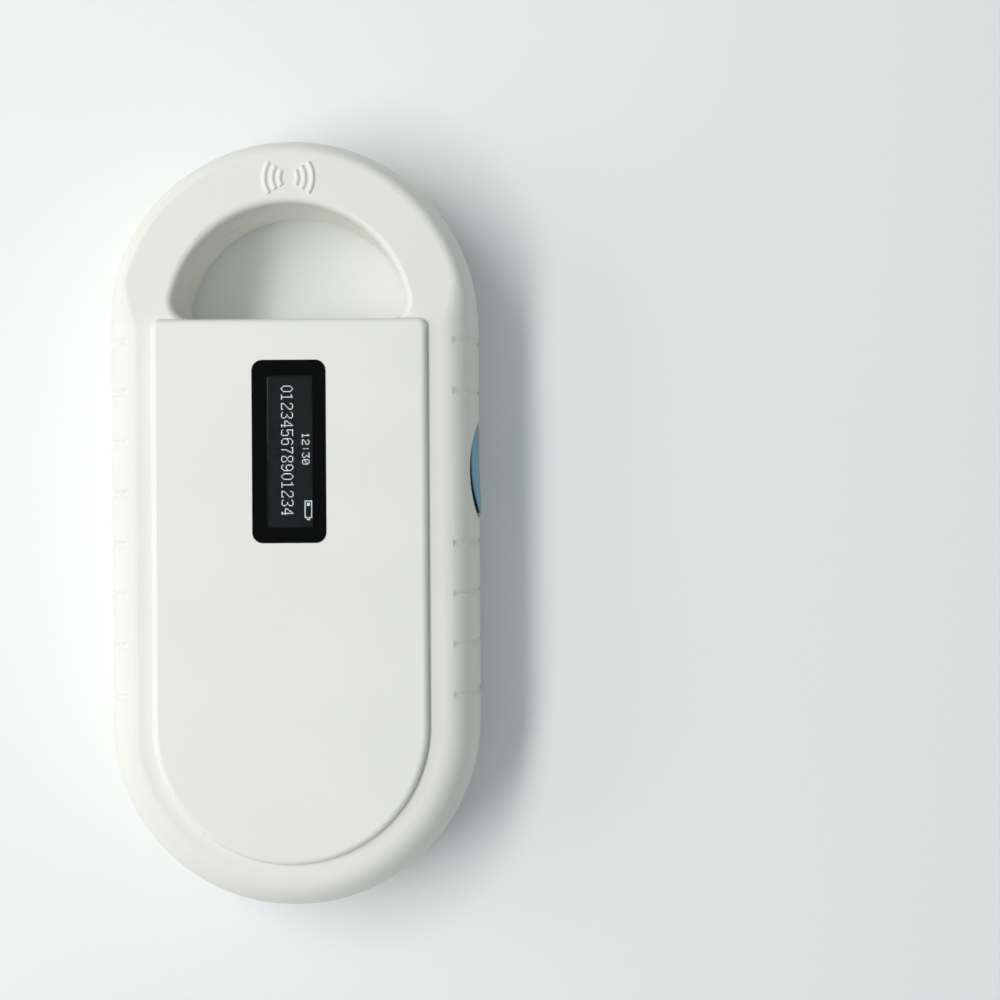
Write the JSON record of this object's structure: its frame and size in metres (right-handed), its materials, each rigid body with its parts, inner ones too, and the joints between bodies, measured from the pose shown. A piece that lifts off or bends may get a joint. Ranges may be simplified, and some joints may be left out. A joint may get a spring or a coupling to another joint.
{
  "type": "microchip scanner",
  "caption": "Hand-held animal microchip scanner: oval off-white plastic case with a D-shaped reading loop, raised front panel with a small display, and a blue side button.",
  "frame": {"origin": "centre of the flat back face", "axes": "+Z through the thickness from the back face to the front panel; +Y along the length to the reading loop; +X to the side with the push button"},
  "size_m": [0.0603, 0.1244, 0.0205],
  "materials": {
    "case_plastic": "satin moulded, fine texture",
    "panel_plastic": "satin moulded, fine texture",
    "window_acrylic": "clear polished acrylic",
    "black_adhesive": "black die-cut film",
    "oled_glass": "dark display glass",
    "foam": "black foam",
    "flex_film": "amber polyimide film",
    "holder_plastic": "black moulded",
    "button_plastic": "semi-gloss steel blue",
    "switch_plastic": "black moulded",
    "tin_plate": "tinned sheet",
    "board_laminate": "green solder mask",
    "chip_resin": "moulded epoxy",
    "capacitor_ceramic": "tan ceramic",
    "battery_foil": "laminated foil",
    "connector_plastic": "natural nylon",
    "wire_red": "silicone insulation",
    "wire_black": "silicone insulation",
    "former_plastic": "natural moulded",
    "enamelled_copper": "enamelled copper wire",
    "screw_steel": "zinc plated"
  },
  "bodies": {
    "case": {"front_shell": "case_plastic", "rear_shell": "case_plastic", "front_panel": "panel_plastic", "display_window": "window_acrylic", "window_adhesive": "black_adhesive", "oled_panel": "oled_glass", "oled_gasket": "foam", "oled_flex": "flex_film", "display_holder": "holder_plastic", "switch_body": "switch_plastic", "switch_cover": "tin_plate", "switch_dome": "tin_plate", "main_board": "board_laminate", "microcontroller": "chip_resin", "reader_chip": "chip_resin", "charger_chip": "chip_resin", "buzzer": "switch_plastic", "crystal": "tin_plate", "power_inductor": "chip_resin", "tuning_capacitors": "capacitor_ceramic", "usb_socket": "tin_plate", "usb_tongue": "switch_plastic", "battery": "battery_foil", "battery_tape": "foam", "battery_board": "board_laminate", "battery_header": "connector_plastic", "battery_plug": "connector_plastic", "battery_lead_positive": "wire_red", "battery_lead_negative": "wire_black", "coil_former": "former_plastic", "antenna_coil": "enamelled_copper", "antenna_leads": "enamelled_copper", "case_screws": "screw_steel", "board_screws": "screw_steel"},
    "push_button": {"side_button": "button_plastic"},
    "switch_key": {"switch_plunger": "switch_plastic"}
  },
  "joints": [
    {"name": "button_press", "type": "slide", "parent": "case", "child": "push_button", "axis": [-1, 0, 0], "range_m": [0, 0.0003], "stiffness_N_per_m": 2000, "springref_m": -0.0002},
    {"name": "switch_press", "type": "slide", "parent": "case", "child": "switch_key", "axis": [-1, 0, 0], "range_m": [0, 0.0003]}
  ],
  "couplings": [
    {"joint": "switch_press", "follows": "button_press", "ratio": 1}
  ]
}
